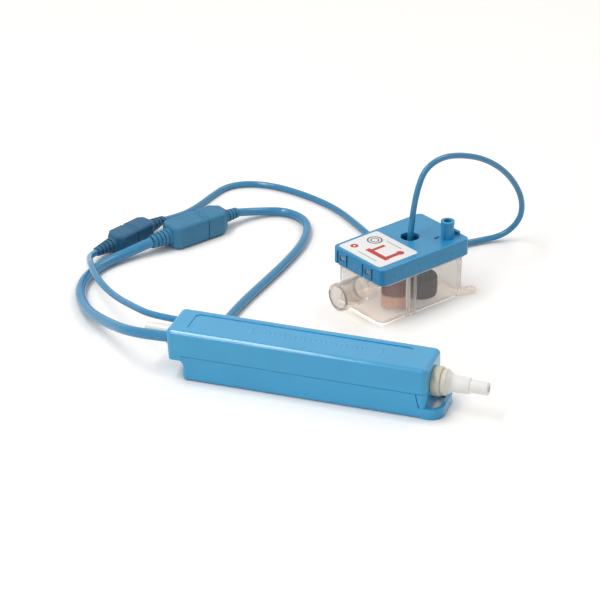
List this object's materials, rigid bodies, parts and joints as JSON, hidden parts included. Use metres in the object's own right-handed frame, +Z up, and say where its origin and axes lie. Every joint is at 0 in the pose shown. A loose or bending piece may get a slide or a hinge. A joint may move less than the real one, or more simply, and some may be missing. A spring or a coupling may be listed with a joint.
{
  "type": "condensate_pump",
  "caption": "Two-unit condensate pump: blue inline pump block with leads and connectors, and a clear float tank with a blue lid",
  "frame": {"origin": "middle of the pump block's flat base, on the floor", "axes": "+X along the pump block towards its outlet, +Y back towards the tank, +Z up"},
  "size_m": [0.2767, 0.2522, 0.0815],
  "materials": {
    "blue_plastic": "gloss, slight moulding waviness",
    "lid_blue": "satin gloss",
    "ivory_plastic": "satin gloss",
    "cream_plastic": "satin gloss",
    "black_rubber": "matt",
    "blue_rubber": "satin",
    "cable_blue": "satin, soft sheen",
    "connector_blue": "satin",
    "brass": "satin",
    "copper": "enamelled wire",
    "steel": "brushed",
    "spring_steel": "bright",
    "lid_dark": "satin",
    "nylon": "matt",
    "board_green": "solder mask",
    "clear_plastic": "clear moulded",
    "screen_brown": "fine mesh",
    "float_grey": "matt foam",
    "magnet_black": "sintered",
    "label_white": "satin film",
    "tie_black": "satin",
    "core_colours": "satin insulation"
  },
  "bodies": {
    "base": {"pump_upper_casing": "blue_plastic", "pump_lower_casing": "blue_plastic", "outlet_spigot": "ivory_plastic", "inlet_spigot": "cream_plastic", "mains_grommet": "blue_rubber", "sensor_grommet": "blue_rubber", "cylinder_tube": "steel", "front_spring": "spring_steel", "rear_spring": "spring_steel", "spring_seats": "nylon", "coil_bobbin": "nylon", "copper_coil": "copper", "magnet_yoke": "steel", "rubber_mounts": "black_rubber", "discharge_seat": "black_rubber", "valve_spring": "spring_steel", "inlet_socket": "nylon", "suction_hose": "black_rubber", "control_board": "board_green", "mains_socket": "connector_blue", "mains_socket_boot": "connector_blue", "sensor_socket": "connector_blue", "sensor_socket_boot": "connector_blue", "sensor_plug": "connector_blue", "sensor_plug_boot": "connector_blue", "sensor_pins": "brass", "tank_box": "clear_plastic", "filter_frame": "clear_plastic", "filter_screen": "screen_brown", "mains_lead": "cable_blue", "sensor_lead": "cable_blue", "float_cable_floor": "cable_blue", "float_cable_arch": "cable_blue", "float_cable_coil": "cable_blue", "float_coil_tie": "tie_black"},
    "piston": {"piston": "steel"},
    "valve": {"discharge_valve": "nylon"},
    "lid": {"tank_lid": "lid_blue", "lid_label": "label_white", "sensor_housing": "lid_dark", "switch_board": "board_green", "stem_clip": "spring_steel", "cable_gland": "blue_rubber", "float_cable_top": "cable_blue"},
    "float": {"float": "float_grey", "float_magnet": "magnet_black"},
    "supply_plug": {"mains_plug": "connector_blue", "mains_pins": "brass", "mains_plug_boot": "connector_blue", "supply_cable": "cable_blue", "supply_hank": "cable_blue", "supply_hank_tie": "tie_black", "supply_tail": "cable_blue", "supply_cores": "core_colours"}
  },
  "joints": [
    {"name": "piston_stroke", "type": "slide", "parent": "base", "child": "piston", "axis": [1, 0, 0], "range_m": [-0.002, 0.002], "stiffness_N_per_m": 800, "deforming": ["front_spring", "rear_spring"]},
    {"name": "discharge_valve_lift", "type": "slide", "parent": "base", "child": "valve", "axis": [1, 0, 0], "range_m": [0, 0.0012], "stiffness_N_per_m": 60, "springref_m": -0.001, "deforming": ["valve_spring"]},
    {"name": "lid_lift", "type": "slide", "parent": "base", "child": "lid", "axis": [0, 0, 1], "range_m": [0, 0.04], "deforming": ["float_cable_arch"]},
    {"name": "float_rise", "type": "slide", "parent": "lid", "child": "float", "axis": [0, 0, 1], "range_m": [0, 0.01]},
    {"name": "supply_plug_pull", "type": "slide", "parent": "base", "child": "supply_plug", "axis": [0.5446, 0.8387, 0], "range_m": [0, 0.012]}
  ]
}
